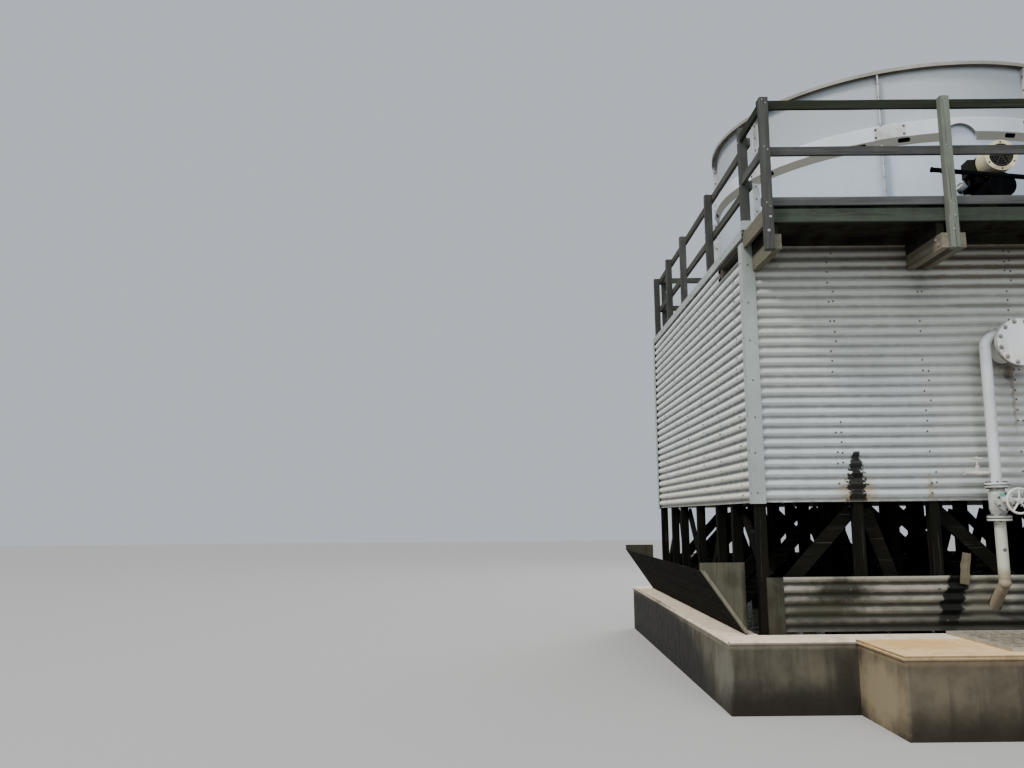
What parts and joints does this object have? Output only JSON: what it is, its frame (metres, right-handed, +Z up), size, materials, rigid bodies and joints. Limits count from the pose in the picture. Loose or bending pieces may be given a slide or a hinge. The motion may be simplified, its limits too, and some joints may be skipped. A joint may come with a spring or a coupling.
{
  "type": "induced-draft cooling tower cell",
  "caption": "Square counterflow cooling tower cell: timber frame on a concrete basin, corrugated casing, railed fan deck, round fan stack, bypass pipe with a gate valve.",
  "frame": {"origin": "ground level under the middle of the square cell, on the underside of the basin floor", "axes": "+Z up; the front with the walkway, the sump and the pipes looks along -Y; +X to the right seen from the front"},
  "size_m": [7.246, 8.016, 7.15],
  "materials": {
    "concrete_floor": "rough concrete",
    "concrete_basin": "stained concrete",
    "concrete_sump": "stained concrete",
    "grating": "scaled galvanised bars",
    "timber_wet": "wet treated timber",
    "timber_dark": "wet treated timber",
    "timber_grey": "weathered timber",
    "timber_outrigger": "weathered timber",
    "fill": "matt",
    "drift": "matt",
    "casing_front": "weathered sheet",
    "casing_back": "weathered sheet",
    "casing_left": "weathered sheet",
    "casing_right": "weathered sheet",
    "trim": "weathered sheet",
    "skirt": "stained sheet",
    "splash": "weathered board",
    "deck": "weathered planks",
    "walkway_wood": "weathered planks",
    "rail_front": "weathered timber",
    "rail_weathered": "weathered timber",
    "stack": "chalky glass-fibre",
    "stack_hoop": "chalky glass-fibre",
    "stack_rim": "chalky glass-fibre",
    "stack_flange": "chalky glass-fibre",
    "fan_metal": "matt paint",
    "fan_blade": "satin glass-fibre",
    "gearbox": "matt paint",
    "shaft": "dull",
    "motor_case": "matt paint",
    "motor_cowl": "chalky cream paint",
    "black_steel": "matt paint",
    "header": "stained paint",
    "bypass": "chalky white paint",
    "valve": "chalky paint over iron",
    "wheel": "chalky white paint",
    "tap": "weathered"
  },
  "bodies": {
    "root": {"basin_floor": "concrete_floor", "basin_wall_front": "concrete_basin", "basin_wall_back": "concrete_basin", "basin_wall_left": "concrete_basin", "basin_wall_right": "concrete_basin", "sump_box": "concrete_sump", "sump_grating": "grating", "columns": "timber_wet", "inlet_braces": "timber_dark", "fill_beams": "timber_dark", "fill_pack": "fill", "drift_eliminators": "drift", "casing_front": "casing_front", "casing_back": "casing_back", "casing_left": "casing_left", "casing_right": "casing_right", "edge_trims": "trim", "skirts": "skirt", "splash_boards": "splash", "deck_beams": "timber_grey", "fan_deck": "deck", "walkway_outriggers": "timber_outrigger", "walkway_deck": "walkway_wood", "handrail_front": "rail_front", "handrail_back": "rail_weathered", "handrail_left": "rail_weathered", "handrail_right": "rail_weathered", "stack_wall": "stack", "stack_hoop": "stack_hoop", "stack_rim": "stack_rim", "stack_flanges": "stack_flange", "fan_hub": "fan_metal", "fan_blades": "fan_blade", "gearbox": "gearbox", "drive_shaft": "shaft", "motor": "motor_case", "motor_cowl": "motor_cowl", "torque_tube": "black_steel", "conduit_bar": "black_steel", "water_header": "header", "bypass_pipe": "bypass", "gate_valve": "valve", "tap_valve": "tap"},
    "wheel": {"valve_wheel": "wheel"},
    "tap": {"tap_handle": "tap"}
  },
  "joints": [
    {"name": "handwheel_turn", "type": "hinge", "parent": "root", "child": "wheel", "pos_m": [-0.64, -3.64, 2.006], "axis": [0, -1, 0], "continuous": true},
    {"name": "tap_turn", "type": "hinge", "parent": "root", "child": "tap", "pos_m": [-0.819, -3.25, 2.441], "axis": [0, 0, 1], "continuous": true}
  ]
}
